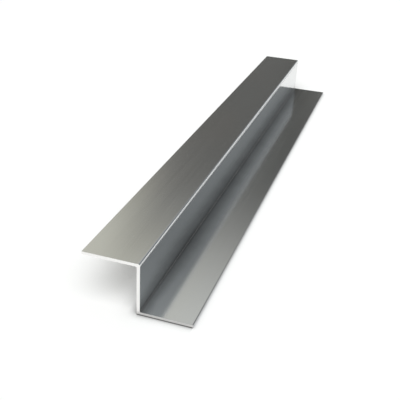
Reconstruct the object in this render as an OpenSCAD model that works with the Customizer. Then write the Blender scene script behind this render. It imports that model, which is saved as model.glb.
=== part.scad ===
// Extruded aluminium Z-profile, one plain cut length.
// The web stands upright. The lower flange runs to +X from its foot and the upper flange to -X from its head.

/* [Section] */
// Height of the profile over both flanges
profile_h = 50; // [20:1:150]
// Width of the upper flange, measured over the web
upper_flange_w = 52; // [20:1:150]
// Width of the lower flange, measured over the web
lower_flange_w = 50; // [20:1:150]
// Thickness of the web
web_t = 3; // [1.5:0.1:8]
// Thickness of both flanges
flange_t = 3; // [1.5:0.1:8]

/* [Edges] */
// Radius of the outer corner at the web's head
head_corner_r = 1; // [0.2:0.1:1.4]
// Radius of the outer corner at the web's foot, kept sharper so that the profile stands square on it
foot_corner_r = 0.3; // [0.1:0.05:1]
// Radius of the two fillets between the web and the flanges
fillet_r = 1; // [0.2:0.1:5]
// Radius of the four arrises along the free edges of the flanges
arris_r = 0.3; // [0.1:0.05:0.7]

/* [Length] */
// Length of the cut piece
profile_l = 650; // [100:10:6000]

/* [Hidden] */

// Sides of a full circle, of which a round or a fillet is a quarter
circle_sides = 48;
// How far a cutter or a fill runs past the face that it works on
past = 0.5;
// The origin lies halfway across the width over both flanges
width_over_flanges = upper_flange_w + lower_flange_w - web_t;
web_right_x = width_over_flanges / 2 - lower_flange_w + web_t;
web_left_x = web_right_x - web_t;

// What a round of radius r takes off a square corner that points to +X +Y
module corner_waste(r) {
    translate([-r, -r])
        difference() {
            square(r + past);
            circle(r, $fn = circle_sides);
        }
}

// The metal under a fillet of radius r, in an inside corner that opens to +X +Y
module fillet_metal(r) {
    difference() {
        translate([-past, -past])
            square(r + past);
        translate([r, r])
            circle(r, $fn = circle_sides);
    }
}

// The lower half of a Z: the web up to mid height and a flange of width w that runs to +X from its foot
module half_z(w, corner_r) {
    difference() {
        union() {
            square([web_t, profile_h / 2]);
            square([w, flange_t]);
            translate([web_t, flange_t])
                fillet_metal(fillet_r);
        }
        rotate(180)
            corner_waste(corner_r);
        translate([w, flange_t])
            corner_waste(arris_r);
        translate([w, 0])
            rotate(-90)
                corner_waste(arris_r);
    }
}

// The whole section. Its upper half is a lower half turned round on the web
module z_section() {
    translate([web_left_x, 0])
        half_z(lower_flange_w, foot_corner_r);
    translate([web_right_x, profile_h])
        rotate(180)
            half_z(upper_flange_w, head_corner_r);
}

module z_profile() {
    color("silver")
        translate([0, profile_l / 2, 0])
            rotate([90, 0, 0])
                linear_extrude(profile_l)
                    z_section();
}

z_profile();
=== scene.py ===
import math

import bpy
from mathutils import Matrix, Vector


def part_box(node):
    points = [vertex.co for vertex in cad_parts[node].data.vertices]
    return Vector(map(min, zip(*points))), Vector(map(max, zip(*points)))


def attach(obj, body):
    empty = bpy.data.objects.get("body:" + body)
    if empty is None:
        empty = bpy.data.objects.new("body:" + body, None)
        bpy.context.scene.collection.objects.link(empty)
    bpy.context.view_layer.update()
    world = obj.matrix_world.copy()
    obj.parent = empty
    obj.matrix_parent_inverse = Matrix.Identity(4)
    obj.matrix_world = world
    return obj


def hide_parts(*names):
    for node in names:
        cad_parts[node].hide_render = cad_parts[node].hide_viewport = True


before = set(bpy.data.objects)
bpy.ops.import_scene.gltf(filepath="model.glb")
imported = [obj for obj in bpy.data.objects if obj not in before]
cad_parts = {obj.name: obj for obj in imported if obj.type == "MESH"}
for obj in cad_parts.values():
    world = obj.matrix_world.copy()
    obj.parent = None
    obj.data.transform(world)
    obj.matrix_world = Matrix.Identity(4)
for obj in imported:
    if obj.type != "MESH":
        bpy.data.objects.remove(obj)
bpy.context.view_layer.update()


# A socket that maths can be written on, in shader trees and geometry trees alike
class Wire:
    def __init__(self, board, socket):
        self.board = board
        self.socket = socket

    def maths(self, operation, *others):
        inputs = dict(enumerate((self,) + others))
        return self.board.make("ShaderNodeMath", {"operation": operation}, inputs)

    def out(self, name):
        return Wire(self.board, self.socket.node.outputs[name])

    def __add__(self, other):
        return self.maths("ADD", other)

    def __radd__(self, other):
        return self.maths("ADD", other)

    def __sub__(self, other):
        return self.maths("SUBTRACT", other)

    def __rsub__(self, other):
        return self.board.make("ShaderNodeMath", {"operation": "SUBTRACT"}, {0: other, 1: self})

    def __mul__(self, other):
        return self.maths("MULTIPLY", other)

    def __rmul__(self, other):
        return self.maths("MULTIPLY", other)

    def __truediv__(self, other):
        return self.maths("DIVIDE", other)

    def __neg__(self):
        return self.maths("MULTIPLY", -1.0)

    def __pow__(self, other):
        return self.maths("POWER", other)


# One node tree and the one way of adding a node to it
class Board:
    def __init__(self, tree):
        self.tree = tree

    def make(self, kind, settings=None, inputs=None, out=0):
        node = self.tree.nodes.new(kind)
        for name, value in (settings or {}).items():
            if name == "stops":      # a colour ramp's places and colours
                ramp = node.color_ramp.elements
                while len(ramp) < len(value):
                    ramp.new(0.5)
                for stop, (place, colour) in zip(ramp, value):
                    stop.position = place
                    stop.color = (*colour, 1.0)
            elif name == "cases":    # how many values an index switch holds
                while len(node.index_switch_items) < value:
                    node.index_switch_items.new()
            else:
                setattr(node, name, value)
        for name, value in (inputs or {}).items():
            if isinstance(value, Wire):
                self.tree.links.new(value.socket, node.inputs[name])
            else:
                node.inputs[name].default_value = value
        return Wire(self, node.outputs[out]) if node.outputs else None

    def blend(self, factor, first, second, kind="MIX"):
        settings = {"data_type": "RGBA", "blend_type": kind}
        return self.make("ShaderNodeMix", settings, {0: factor, 6: first, 7: second}, out=2)

    def rise(self, value, low, high):    # 0 below low, 1 above high, smooth between
        settings = {"interpolation_type": "SMOOTHSTEP"}
        inputs = {"Value": value, "From Min": low, "From Max": high}
        return self.make("ShaderNodeMapRange", settings, inputs)

    def away(self, across, up, place):   # distance in the section from a line along the piece
        flat = (across - place[0]) ** 2.0 + (up - place[1]) ** 2.0
        return flat.maths("SQRT")


def newMaterial(name):
    material = bpy.data.materials.new(name)
    material.use_nodes = True
    material.node_tree.nodes.clear()
    return material, Board(material.node_tree)


# The profile's section, in metres. Height, length and the outer width come from the frame
section = {
    "upperFlange": 0.052,
    "lowerFlange": 0.050,
    "wall": 0.003,
    "headRadius": 0.0018,
    "footRadius": 0.0003,
    "fillet": 0.001,
    "arris": 0.0006,
    "lipRadius": 0.0003,     # the upper flange's free edge, hardly broken
    "roundSteps": 8,         # pieces in each rounded corner
    "lengthSteps": 27,       # rings along the length
    "endBreak": 0.00022,     # what the file takes off the sawn edges
}


def sectionSizes():
    low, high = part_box("z_profile")
    sizes = dict(section)
    sizes["height"] = high.z - low.z
    sizes["length"] = high.y - low.y
    sizes["left"] = low.x
    sizes["right"] = high.x
    sizes["webLeft"] = high.x - sizes["lowerFlange"]
    sizes["webRight"] = low.x + sizes["upperFlange"]
    sizes["nearEnd"] = low.y
    return sizes


# The sweep: eight corner points by index, each rounded by its own radius, run along the length
profileInputs = ("left", "right", "webLeft", "webRight", "height", "length", "wall",
                 "headRadius", "footRadius", "fillet", "arris", "lipRadius")
profileCounts = ("roundSteps", "lengthSteps")


def profileTree(skin, cut):
    tree = bpy.data.node_groups.new("zProfileSweep", "GeometryNodeTree")
    face = tree.interface
    face.new_socket("Geometry", in_out="OUTPUT", socket_type="NodeSocketGeometry")
    for name in profileInputs:
        face.new_socket(name, in_out="INPUT", socket_type="NodeSocketFloat")
    for name in profileCounts:
        face.new_socket(name, in_out="INPUT", socket_type="NodeSocketInt")
    board = Board(tree)
    given = board.make("NodeGroupInput")
    size = {name: given.out(name) for name in profileInputs + profileCounts}
    zero = size["wall"] * 0.0
    under = size["height"] - size["wall"]
    corners = (
        (size["webLeft"], zero, size["footRadius"]),
        (size["right"], zero, size["arris"]),
        (size["right"], size["wall"], size["arris"]),
        (size["webRight"], size["wall"], size["fillet"]),
        (size["webRight"], size["height"], size["headRadius"]),
        (size["left"], size["height"], size["lipRadius"]),
        (size["left"], under, size["arris"]),
        (size["webLeft"], under, size["fillet"]),
    )
    index = board.make("GeometryNodeInputIndex")
    places = {"Index": index}
    radii = {"Index": index}
    for number, (across, up, radius) in enumerate(corners):
        places[str(number)] = board.make("ShaderNodeCombineXYZ", {}, {"X": across, "Y": up})
        radii[str(number)] = radius
    many = {"cases": len(corners)}
    place = board.make("GeometryNodeIndexSwitch", {"data_type": "VECTOR", **many}, places)
    radius = board.make("GeometryNodeIndexSwitch", {"data_type": "FLOAT", **many}, radii)
    line = board.make("GeometryNodeMeshLine", {}, {"Count": len(corners)})
    line = board.make("GeometryNodeSetPosition", {}, {"Geometry": line, "Position": place})
    outline = board.make("GeometryNodeMeshToCurve", {}, {"Mesh": line})
    outline = board.make("GeometryNodeSetSplineCyclic", {}, {"Geometry": outline, "Cyclic": True})
    fillets = {"Curve": outline, "Radius": radius, "Count": size["roundSteps"], "Limit Radius": True}
    outline = board.make("GeometryNodeFilletCurve", {"mode": "POLY"}, fillets)
    rail = board.make("GeometryNodeCurvePrimitiveLine", {}, {
        "Start": board.make("ShaderNodeCombineXYZ", {}, {"Z": size["length"] * -0.5}),
        "End": board.make("ShaderNodeCombineXYZ", {}, {"Z": size["length"] * 0.5}),
    })
    rail = board.make("GeometryNodeResampleCurve", {}, {"Curve": rail, "Count": size["lengthSteps"]})
    sweep = board.make("GeometryNodeCurveToMesh", {}, {
        "Curve": rail, "Profile Curve": outline, "Fill Caps": True,
    })
    turned = board.make("GeometryNodeTransform", {}, {
        "Geometry": sweep, "Rotation": (math.pi / 2, 0.0, 0.0),
    })
    real = board.make("GeometryNodeRealizeInstances", {}, {"Geometry": turned})
    normal = board.make("GeometryNodeInputNormal")
    along = board.make("ShaderNodeSeparateXYZ", {}, {"Vector": normal}, out="Y")
    atEnd = board.make("FunctionNodeCompare", {"operation": "GREATER_THAN"}, {
        0: along.maths("ABSOLUTE"), 1: 0.5,
    })
    real = board.make("GeometryNodeSetShadeSmooth", {}, {"Geometry": real, "Shade Smooth": True})
    dressed = board.make("GeometryNodeSetMaterial", {}, {"Geometry": real, "Material": skin})
    dressed = board.make("GeometryNodeSetMaterial", {}, {
        "Geometry": dressed, "Selection": atEnd, "Material": cut,
    })
    board.make("NodeGroupOutput", {}, {"Geometry": dressed})
    return tree


def makeProfile(sizes, skin, cut):
    seed = bpy.data.objects.new("zProfileSeed", bpy.data.meshes.new("zProfileSeed"))
    bpy.context.scene.collection.objects.link(seed)
    sweep = seed.modifiers.new("sweep", "NODES")
    sweep.node_group = profileTree(skin, cut)
    for item in sweep.node_group.interface.items_tree:
        if item.in_out == "INPUT":
            sweep[item.identifier] = sizes[item.name]
    file = seed.modifiers.new("brokenEdges", "BEVEL")
    file.width = sizes["endBreak"]
    file.segments = 2
    file.limit_method = "ANGLE"
    file.angle_limit = math.radians(60)
    file.use_clamp_overlap = False
    flats = seed.modifiers.new("flatFaces", "WEIGHTED_NORMAL")    # keeps the wide faces truly flat
    flats.weight = 100
    shown = seed.evaluated_get(bpy.context.evaluated_depsgraph_get())
    mesh = bpy.data.meshes.new_from_object(shown)
    mesh.name = "zProfileSkin"
    bpy.data.objects.remove(seed)
    piece = bpy.data.objects.new("zProfileSkin", mesh)
    bpy.context.scene.collection.objects.link(piece)
    print("profile swept:", len(mesh.polygons), "faces", [m.name for m in mesh.materials])
    return piece


# Bare extruded metal: bright, nearly a mirror, with lines from the die along its length
mill = {
    "tone": (0.74, 0.74, 0.74),
    "cool": (0.725, 0.74, 0.75),
    "warm": (0.755, 0.74, 0.725),
    "roughness": 0.12,
    "roughnessSwing": 0.05,
    "lowerRoughness": 0.02,   # more on the lower flange
    "headHighlightTone": (0.95, 0.95, 0.95),
    "headHighlightDepth": 0.0031,      # how far down the web its head carries the painted highlight
    "headHighlightStrength": 0.62,
    "headHighlightWidens": 0.85,       # how much deeper that reaches further along
    "headHighlightWidest": 0.42,       # how far from the front end it has widened fully
    "headHighlightRoughness": 0.5,
    "headHighlightMetal": 0.1,
    "cornerShadeTone": 0.43,       # what the painted shade in an inner corner leaves of the brightness
    "cornerAlong": 0.0185,    # how far that painted shade reaches over a flange
    "cornerUp": 0.0076,       # and up the web
    "cornerWeb": 0.82,        # how strong it is on the web, beside the flange
    "cornerEnd": 0.16,        # how much weaker it is near the front end
    "cornerNarrows": 0.38,    # and how much narrower
    "cornerEndReach": 0.11,
    "cornerRagged": 0.35,     # how uneven its edges are
    "filletShadeTone": 0.6,        # what the fillet itself keeps of that: more painted shade, in the fillet
    "tipShadeTone": 0.8,           # the narrow faces along the free edges, darkened with painted shade
    "arrisShadeTone": 0.08,        # the lower flange's upper edge: a dull strip, darkened with painted shade
    "arrisMetal": 0.1,
    "arrisRoughness": 0.5,
    "arrisDull": 0.9,
    "floorTone": 0.6,         # the lowest edge, darkened with painted contact shade where it meets the floor
    "contactShadeReach": 0.0009,
    "lineHeight": 0.000007,
    "lineTone": 0.07,         # how much the die's lines show in the brightness
    "lineRoughness": 0.04,    # and in the gloss
    "rubTone": 0.03,          # thin lengthwise rubs from sliding over other lengths
    "rubRoughness": 0.05,
    "waveHeight": 0.00002,
}


def millMetal(sizes):
    material, board = newMaterial("millMetal")
    where = board.make("ShaderNodeTexCoord", out="Object")
    axes = board.make("ShaderNodeSeparateXYZ", {}, {"Vector": where})
    across, up = axes.out("X"), axes.out("Z")

    def stretched(scale, detail, seed):
        mapped = board.make("ShaderNodeMapping", {}, {
            "Vector": where, "Location": (seed, seed, seed), "Scale": scale,
        })
        inputs = {"Vector": mapped, "Scale": 1.0, "Detail": detail, "Roughness": 0.55}
        return board.make("ShaderNodeTexNoise", {}, inputs)

    fine = stretched((1400.0, 5.0, 1400.0), 2.0, 3.1)
    bands = stretched((160.0, 1.6, 160.0), 2.0, 8.4)
    rubs = board.rise(stretched((620.0, 7.0, 620.0), 2.0, 9.7), 0.64, 0.70)
    cloud = stretched((14.0, 7.0, 14.0), 3.0, 5.7)
    tint = stretched((9.0, 4.5, 9.0), 1.0, 1.3)

    # the two inner corners, each a soft band of painted shade that fades over its flange and along the web, with
    # dust making it a little rougher
    under = sizes["height"] - sizes["wall"]
    fromNear = axes.out("Y") - sizes["nearEnd"]
    nearFront = 1.0 - board.rise(fromNear, 0.0, mill["cornerEndReach"])
    narrows = 1.0 - mill["cornerNarrows"] * nearFront
    narrows = narrows * (1.0 + mill["cornerRagged"] * (stretched((40.0, 90.0, 40.0), 3.0, 6.1) - 0.5))

    def corner(place, inside):
        flat = ((across - place[0]) / mill["cornerAlong"]) ** 2.0
        flat = flat + ((up - place[1]) / mill["cornerUp"]) ** 2.0
        return (1.0 - board.rise(flat.maths("SQRT") / narrows, 0.08, 1.0)) * inside

    hair = 0.00005
    overLower = across.maths("GREATER_THAN", sizes["webRight"] - hair)
    underUpper = across.maths("LESS_THAN", sizes["webLeft"] + hair) * up.maths("LESS_THAN", under + hair)
    dustAndShade = corner((sizes["webRight"], sizes["wall"]), overLower)
    dustAndShade = dustAndShade.maths("MAXIMUM", corner((sizes["webLeft"], under), underUpper))
    inner = board.away(across, up, (sizes["webRight"], sizes["wall"])).maths(
        "MINIMUM", board.away(across, up, (sizes["webLeft"], under)))
    # the fillet, darkened further with painted shade
    fillet = 1.0 - board.rise(inner, sizes["fillet"] * 0.9, sizes["fillet"] * 1.6)
    onWeb = board.rise(up, sizes["wall"] * 1.1, sizes["wall"] * 1.6) * board.rise(-up, -0.95 * under, -0.9 * under)
    dustAndShade = dustAndShade * (1.0 - (1.0 - mill["cornerWeb"]) * onWeb)
    dustAndShade = dustAndShade * (1.0 - mill["cornerEnd"] * nearFront)
    dustAndShade = dustAndShade * (0.86 + 0.28 * stretched((6.0, 26.0, 6.0), 1.0, 2.2))

    # the head of the web, with a painted highlight along its outer corner
    depth = mill["headHighlightDepth"] * (1.0 + mill["headHighlightWidens"] * board.rise(fromNear, 0.0, mill["headHighlightWidest"]))
    paintedHighlight = 1.0 - board.rise((sizes["height"] - up) / depth, 0.55, 1.0)
    paintedHighlight = paintedHighlight * across.maths("GREATER_THAN", sizes["webRight"] - 0.0003) * mill["headHighlightStrength"]

    # the narrow faces along the free edges, darkened with painted shade
    tip = across.maths("GREATER_THAN", sizes["right"] - 0.0001)
    tip = tip.maths("MAXIMUM", across.maths("LESS_THAN", sizes["left"] + 0.0001))
    # painted contact shade along the lowest edge
    low = 1.0 - board.rise(up, mill["contactShadeReach"] * 0.5, mill["contactShadeReach"])
    # the lower flange's upper edge: dull, and darkened with painted shade
    arris = board.rise(across, sizes["right"] - 1.8 * sizes["arris"], sizes["right"] - 1.1 * sizes["arris"])
    arris = arris * (1.0 - tip) * board.rise(up, sizes["wall"] * 0.6, sizes["wall"] * 0.8) * mill["arrisDull"]

    colour = board.blend(board.rise(tint, 0.38, 0.62), (*mill["cool"], 1.0), (*mill["warm"], 1.0))
    colour = board.blend(0.5, colour, (*mill["tone"], 1.0))
    shade = 0.97 + 0.03 * bands + 0.03 * cloud
    shade = shade * (1.0 + mill["lineTone"] * (fine - 0.5) + mill["rubTone"] * rubs)
    shade = shade * (1.0 - (1.0 - mill["cornerShadeTone"]) * dustAndShade)
    shade = shade * (1.0 - (1.0 - mill["filletShadeTone"]) * fillet)
    shade = shade * (1.0 - (1.0 - mill["tipShadeTone"]) * tip)
    shade = shade * (1.0 - (1.0 - mill["floorTone"]) * low)
    grey = board.make("ShaderNodeCombineColor", {}, {"Red": shade, "Green": shade, "Blue": shade})
    colour = board.blend(1.0, colour, grey, "MULTIPLY")
    colour = board.blend(paintedHighlight, colour, (*mill["headHighlightTone"], 1.0))
    colour = board.blend(arris, colour, (mill["arrisShadeTone"], mill["arrisShadeTone"], mill["arrisShadeTone"], 1.0))

    rough = mill["roughness"] + mill["roughnessSwing"] * (cloud + bands - 1.0)
    rough = rough + mill["lineRoughness"] * (fine - 0.5) + mill["rubRoughness"] * rubs
    lower = 1.0 - board.rise(up, sizes["wall"], sizes["wall"] * 1.3)
    rough = rough + lower * mill["lowerRoughness"] + dustAndShade * 0.06 + tip * 0.05
    rough = rough * (1.0 - paintedHighlight) + paintedHighlight * mill["headHighlightRoughness"]
    rough = rough * (1.0 - arris) + arris * mill["arrisRoughness"]
    metal = 1.0 - paintedHighlight * (1.0 - mill["headHighlightMetal"]) - arris * (1.0 - mill["arrisMetal"])

    bump = board.make("ShaderNodeBump", {}, {
        "Height": fine, "Distance": mill["lineHeight"], "Strength": 1.0,
    })
    bump = board.make("ShaderNodeBump", {}, {
        "Height": bands, "Distance": mill["waveHeight"], "Strength": 1.0, "Normal": bump,
    })
    shader = board.make("ShaderNodeBsdfPrincipled", {}, {
        "Base Color": colour, "Metallic": metal, "Roughness": rough, "Normal": bump,
    })
    board.make("ShaderNodeOutputMaterial", {}, {"Surface": shader})
    return material


# The sawn end: paler, dull, with the blade's fine lines across it
sawn = {
    "tone": (0.95, 0.94, 0.925),
    "darker": (0.89, 0.885, 0.875),
    "roughness": 0.42,
    "linesPerMetre": 2600.0,
    "lineHeight": 0.00001,
    "lowTone": 0.80,          # the lower flange's end, greyer than the rest
    "lowReach": 0.0045,
    # the end's lowest strip, nearly black: painted contact shade where it meets the floor
    "floorTone": 0.02,
    "contactShadeReach": 0.0009,
}


def sawnMetal():
    material, board = newMaterial("sawnMetal")
    where = board.make("ShaderNodeTexCoord", out="Object")
    up = board.make("ShaderNodeSeparateXYZ", {}, {"Vector": where}, out="Z")
    turned = board.make("ShaderNodeMapping", {}, {
        "Vector": where, "Rotation": (0.0, math.radians(12), 0.0),
        "Scale": (sawn["linesPerMetre"], 1.0, 90.0),
    })
    lines = board.make("ShaderNodeTexNoise", {}, {
        "Vector": turned, "Scale": 1.0, "Detail": 2.0, "Roughness": 0.6,
    })
    spots = board.make("ShaderNodeTexNoise", {}, {"Vector": where, "Scale": 220.0, "Detail": 2.0})
    colour = board.blend(board.rise(lines, 0.3, 0.6), (*sawn["darker"], 1.0), (*sawn["tone"], 1.0))
    low = 1.0 - board.rise(up, sawn["lowReach"] * 0.6, sawn["lowReach"])
    # painted contact shade along the end's lower edge
    foot = 1.0 - board.rise(up, sawn["contactShadeReach"] * 0.5, sawn["contactShadeReach"])
    shade = (1.0 - (1.0 - sawn["lowTone"]) * low) * (1.0 - (1.0 - sawn["floorTone"]) * foot)
    grey = board.make("ShaderNodeCombineColor", {}, {"Red": shade, "Green": shade, "Blue": shade})
    colour = board.blend(1.0, colour, grey, "MULTIPLY")
    rough = sawn["roughness"] + 0.12 * (lines - 0.5) + 0.08 * (spots - 0.5)
    bump = board.make("ShaderNodeBump", {}, {
        "Height": lines, "Distance": sawn["lineHeight"], "Strength": 1.0,
    })
    shader = board.make("ShaderNodeBsdfPrincipled", {}, {
        "Base Color": colour, "Metallic": 1.0, "Roughness": rough, "Normal": bump,
    })
    board.make("ShaderNodeOutputMaterial", {}, {"Surface": shader})
    return material


# The studio: a white floor, a soft lamp overhead and a sky that is dim low down
studio = {
    "floorSize": 60.0,
    "horizon": 0.13,           # how high the white all round the floor reaches, as a share of up
    "floorTone": (0.90, 0.90, 0.90),
    "floorLift": 0.125,        # a little light of its own, so that open floor reads as white
    "lampLight": 2.22,
    "lampAngle": 54.0,
    "lampLean": (8.0, 35.0),   # degrees off straight up, to the right and to the near end
    "contactReach": 0.009,     # how far the painted contact shadow darkens the floor beside what stands on it
    "contactPower": 1.0,
    "softReach": 0.022,        # and how far it does so softly
    "softPower": 0.45,
    "contactRight": 0.35,      # what is left of that on the lit side
    "skyLight": 1.08,
    "reachAlong": 3.6,          # the ceiling map's edge, in heights
    "sidesDim": 0.86,           # how much less light comes from low down on either side
    "warmSide": (1.01, 1.0, 0.88),
    "warmFar": (1.0, 1.0, 0.955),
    "middle": (0.925, 0.945, 0.93),
    "coolSide": (0.95, 1.01, 1.03),
}


# the sky's brightness by how far along the piece it lies, in heights, on either side
leftSky = (
    (0.0, 0.40), (0.4, 0.46), (0.75, 0.53), (1.05, 0.60), (1.24, 0.605), (1.33, 0.54), (1.445, 0.437), (1.56, 0.347),
    (1.69, 0.258), (1.84, 0.19), (2.01, 0.152), (2.3, 0.135), (3.1, 0.131), (3.6, 0.131),
)
middleSky = (
    (0.0, 0.40), (0.4, 0.46), (0.75, 0.53), (1.05, 0.62), (1.235, 0.65), (1.33, 0.555), (1.5, 0.415), (1.6, 0.33),
    (1.79, 0.19), (1.98, 0.115), (2.36, 0.104), (2.75, 0.118), (2.93, 0.135), (3.06, 0.165), (3.6, 0.18),
)
rightSky = (
    (0.0, 0.40), (0.4, 0.44), (0.75, 0.46), (1.0, 0.43), (1.2, 0.35), (1.33, 0.28), (1.45, 0.24), (1.6, 0.23),
    (2.1, 0.245), (3.6, 0.26),
)
# how much sooner it turns bright the more it lies towards -X
leftLead = (
    (-1.2, 0.5), (-0.9, 0.44), (-0.765, 0.305), (-0.745, 0.265), (-0.72, 0.155), (-0.685, 0.0), (-0.6, 0.0),
)


def seenRays(board):     # what the camera sees, straight or in metal
    path = board.make("ShaderNodeLightPath")
    seen = path.out("Is Camera Ray") + path.out("Is Glossy Ray") + path.out("Is Transmission Ray")
    return seen.maths("MINIMUM", 1.0)


def makeFloor(sizes):
    mesh = bpy.data.meshes.new("floor")
    half = studio["floorSize"] / 2
    mesh.from_pydata([(-half, -half, 0), (half, -half, 0), (half, half, 0), (-half, half, 0)], [], [(0, 1, 2, 3)])
    floor = bpy.data.objects.new("floor", mesh)
    bpy.context.scene.collection.objects.link(floor)
    material, board = newMaterial("paleFloor")
    where = board.make("ShaderNodeTexCoord", out="Object")
    across = board.make("ShaderNodeSeparateXYZ", {}, {"Vector": where}, out="X")
    litSide = across.maths("GREATER_THAN", sizes["right"] - sizes["arris"])
    # a painted contact shadow: ambient occlusion darkens the floor's colour and glow near the piece, less on its lit
    # side
    clear = 1.0
    for reach, power in (("contactReach", "contactPower"), ("softReach", "softPower")):
        nearby = {"Distance": studio[reach]}
        open = board.make("ShaderNodeAmbientOcclusion", {"samples": 8}, nearby, out="AO")
        clear = clear * open ** studio[power]
    paintedShadow = (1.0 - clear) * (1.0 - litSide * (1.0 - studio["contactRight"]))
    tone = board.blend(paintedShadow, (*studio["floorTone"], 1.0), (0.0, 0.0, 0.0, 1.0))
    glow = (1.0 - paintedShadow) * seenRays(board)
    shader = board.make("ShaderNodeBsdfPrincipled", {}, {
        "Base Color": tone, "Roughness": 1.0, "Specular IOR Level": 0.0,
        "Emission Color": board.make("ShaderNodeCombineColor", {}, {"Red": glow, "Green": glow, "Blue": glow}),
        "Emission Strength": studio["floorLift"],
    })
    board.make("ShaderNodeOutputMaterial", {}, {"Surface": shader})
    mesh.materials.append(material)


def makeSky():
    world = bpy.data.worlds.new("studioSky")
    bpy.context.scene.world = world
    world.use_nodes = True
    world.node_tree.nodes.clear()
    board = Board(world.node_tree)
    way = board.make("ShaderNodeTexCoord", out="Generated")
    axes = board.make("ShaderNodeSeparateXYZ", {}, {"Vector": way})
    up = axes.out("Z").maths("MAXIMUM", 0.03)
    side = axes.out("X") / up
    along = (axes.out("Y") / up).maths("ABSOLUTE")
    lead = board.make("ShaderNodeValToRGB", {"stops": tuple(
        ((place + 1.2) / 1.2, (value, value, value)) for place, value in leftLead
    )}, {"Fac": (side + 1.2) / 1.2})
    along = along - lead
    most = studio["reachAlong"]

    def strip(stops):
        return board.make("ShaderNodeValToRGB", {"stops": tuple(
            (place / most, (value, value, value)) for place, value in stops
        )}, {"Fac": along / most})

    level = board.blend(board.rise(side, -0.58, -0.52), strip(leftSky), strip(middleSky))
    level = board.blend(board.rise(side, -0.38, 0.35), level, strip(rightSky))
    tint = board.make("ShaderNodeValToRGB", {"stops": (
        (0.0, studio["warmSide"]), (0.15, studio["warmSide"]), (0.4, studio["middle"]),
        (1.0, studio["coolSide"]),
    )}, {"Fac": (side + 0.8) / 1.2})
    plainer = board.rise(along, 1.45, 1.9) * (1.0 - board.rise(side, -0.58, -0.50))
    tint = board.blend(plainer, tint, (*studio["warmFar"], 1.0))
    colour = board.blend(1.0, level, tint, "MULTIPLY")
    path = board.make("ShaderNodeLightPath")
    mirrored = (path.out("Is Glossy Ray") + path.out("Is Transmission Ray")).maths("MINIMUM", 1.0)
    sides = board.rise(side.maths("ABSOLUTE"), 0.95, 2.4) * (1.0 - mirrored)
    dim = 1.0 - studio["sidesDim"] * sides
    dip = board.rise(along, 2.76, 2.98) * board.rise(side, -0.58, -0.53) * (1.0 - board.rise(side, -0.475, -0.41))
    dim = dim * (1.0 - 0.62 * dip) * studio["skyLight"]
    sky = board.make("ShaderNodeBackground", {}, {"Color": colour, "Strength": dim})
    white = board.make("ShaderNodeBackground", {}, {"Color": (1.0, 1.0, 1.0, 1.0), "Strength": 1.0})
    low = 1.0 - board.rise(axes.out("Z"), studio["horizon"] - 0.005, studio["horizon"])
    plain = path.out("Is Camera Ray").maths("MAXIMUM", mirrored * low)
    sky = board.make("ShaderNodeMixShader", {}, {0: plain, 1: sky, 2: white})
    board.make("ShaderNodeOutputWorld", {}, {"Surface": sky})


def makeLamp():
    light = bpy.data.lights.new("softLamp", "SUN")
    light.energy = studio["lampLight"]
    light.angle = math.radians(studio["lampAngle"])
    lamp = bpy.data.objects.new("softLamp", light)
    lamp.visible_glossy = False      # the metal shows the sky, not the lamp
    bpy.context.scene.collection.objects.link(lamp)
    towardsX, towardsNear = (math.radians(v) for v in studio["lampLean"])
    back = Vector((math.sin(towardsX), -math.sin(towardsNear), 1.0)).normalized()
    lamp.rotation_euler = back.to_track_quat("Z", "Y").to_euler()


# The camera of the photograph, worked out from the edges of the profile
view = {
    "fromWeb": 0.1772,        # to the right of the web's middle
    "fromNearEnd": 0.4158,    # in front of the near end
    "overFloor": 0.3453,
    "yaw": 17.176,
    "pitch": -27.580,
    "roll": 2.95,
    "focal": 671.6,           # in the pixels of a picture 400 wide
    "pictureWidth": 400.0,
    "sensor": 36.0,
}


def makeCamera(sizes):
    data = bpy.data.cameras.new("camera")
    data.sensor_width = view["sensor"]
    data.lens = view["focal"] / view["pictureWidth"] * view["sensor"]
    data.clip_start = 0.01
    data.clip_end = 200.0
    camera = bpy.data.objects.new("camera", data)
    bpy.context.scene.collection.objects.link(camera)
    webMiddle = (sizes["webLeft"] + sizes["webRight"]) / 2
    place = Vector((webMiddle + view["fromWeb"], sizes["nearEnd"] - view["fromNearEnd"], view["overFloor"]))
    turn = Matrix.Rotation(math.radians(view["yaw"]), 4, "Z")
    turn = turn @ Matrix.Rotation(math.radians(90 + view["pitch"]), 4, "X")
    turn = turn @ Matrix.Rotation(math.radians(view["roll"]), 4, "Z")
    camera.matrix_world = Matrix.Translation(place) @ turn
    bpy.context.scene.camera = camera


sizes = sectionSizes()
makeCamera(sizes)
makeFloor(sizes)
makeSky()
makeLamp()
print("studio ready")
piece = makeProfile(sizes, millMetal(sizes), sawnMetal())
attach(piece, "root")
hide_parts("z_profile")
bpy.context.scene.view_settings.view_transform = "Standard"
